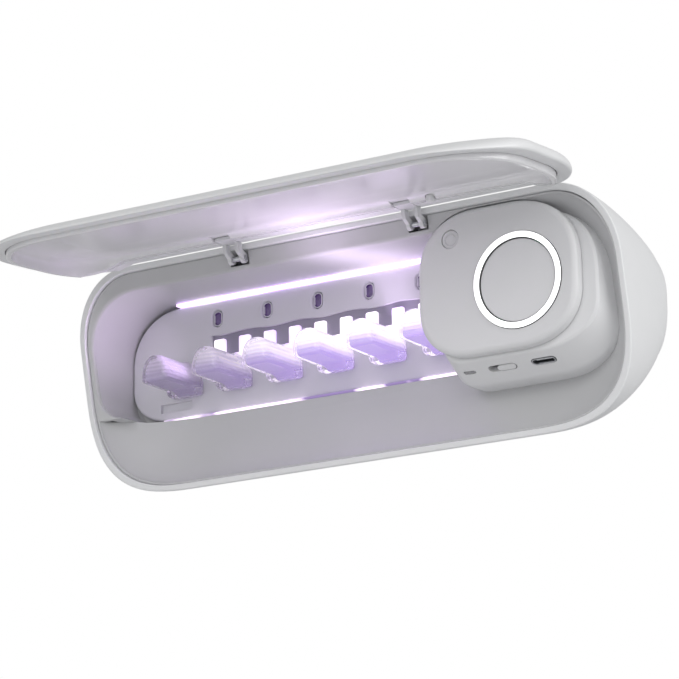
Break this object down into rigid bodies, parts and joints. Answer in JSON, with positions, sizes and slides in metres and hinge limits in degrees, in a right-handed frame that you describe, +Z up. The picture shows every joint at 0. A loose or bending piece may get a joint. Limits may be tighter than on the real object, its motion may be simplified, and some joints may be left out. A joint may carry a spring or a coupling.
{
  "type": "toothbrush sanitizer",
  "caption": "Wall-mounted toothbrush sanitizer: tapered case with tilted rim, lift-up lid, finger rack in a lit chamber, round-button control unit.",
  "frame": {"origin": "middle of the back, on the wall plane, level with the middle of the front rim", "axes": "+X to the right seen from the front, +Y into the wall, +Z up; the open lid reaches out along -Y"},
  "size_m": [0.232, 0.1252, 0.0883],
  "materials": {
    "shell_white": "satin white moulding",
    "tray_plastic": "fine matt, pale grey",
    "control_plastic": "fine matt, pale grey",
    "switch_plastic": "matt",
    "liner_plastic": "semi-gloss, reflects the chamber light",
    "claw_plastic": "satin",
    "rack_plastic": "fine matt",
    "clear_plastic": "clear polished moulding, lit from behind",
    "lit_diffuser": "translucent diffuser, lit violet-white",
    "ring_light": "opal diffuser, lit white",
    "lamp_window": "dark violet window",
    "sensor_window": "smoked window",
    "circuit_board": "solder mask",
    "plated_steel": "bright plated",
    "cell_wrap": "foil wrap",
    "pad_foam": "foam tape"
  },
  "bodies": {
    "case": {"outer_shell": "shell_white", "wall_pad": "pad_foam", "front_tray": "tray_plastic", "rack_plate": "rack_plastic", "comb_rail": "clear_plastic", "uv_board": "circuit_board", "upper_light_strip": "lit_diffuser", "lower_light_strip": "lit_diffuser", "control_base": "control_plastic", "control_cover": "control_plastic", "light_ring": "ring_light", "ring_led_board": "circuit_board", "sensor_lens": "sensor_window", "main_board": "circuit_board", "button_switch": "plated_steel", "charging_socket": "plated_steel", "status_light": "sensor_window", "battery_cell": "cell_wrap", "hinge_pin_left": "plated_steel", "hinge_pin_right": "plated_steel", "brush_finger_1": "clear_plastic", "brush_finger_2": "clear_plastic", "brush_finger_3": "clear_plastic", "brush_finger_4": "clear_plastic", "brush_finger_5": "clear_plastic", "brush_finger_6": "clear_plastic", "uv_lamp_1": "lamp_window", "uv_lamp_2": "lamp_window", "uv_lamp_3": "lamp_window", "uv_lamp_4": "lamp_window", "uv_lamp_5": "lamp_window", "case_screw_1": "plated_steel", "case_screw_2": "plated_steel", "case_screw_3": "plated_steel", "case_screw_4": "plated_steel"},
    "lid": {"lid_cover": "shell_white", "lid_liner": "liner_plastic", "lid_peg": "switch_plastic", "hinge_claw_left": "claw_plastic", "hinge_claw_right": "claw_plastic"},
    "button": {"power_button": "control_plastic"},
    "switch": {"mode_switch": "switch_plastic"}
  },
  "joints": [
    {"name": "lid_hinge", "type": "hinge", "parent": "case", "child": "lid", "pos_m": [0, -0.0473, 0.0372], "axis": [1, 0, 0], "range_deg": [0, 90]},
    {"name": "button_press", "type": "slide", "parent": "case", "child": "button", "axis": [0, 1, 0], "range_m": [0, 0.0008], "stiffness_N_per_m": 1200},
    {"name": "mode_switch_slide", "type": "slide", "parent": "case", "child": "switch", "axis": [-1, 0, 0], "range_m": [0, 0.003]}
  ]
}
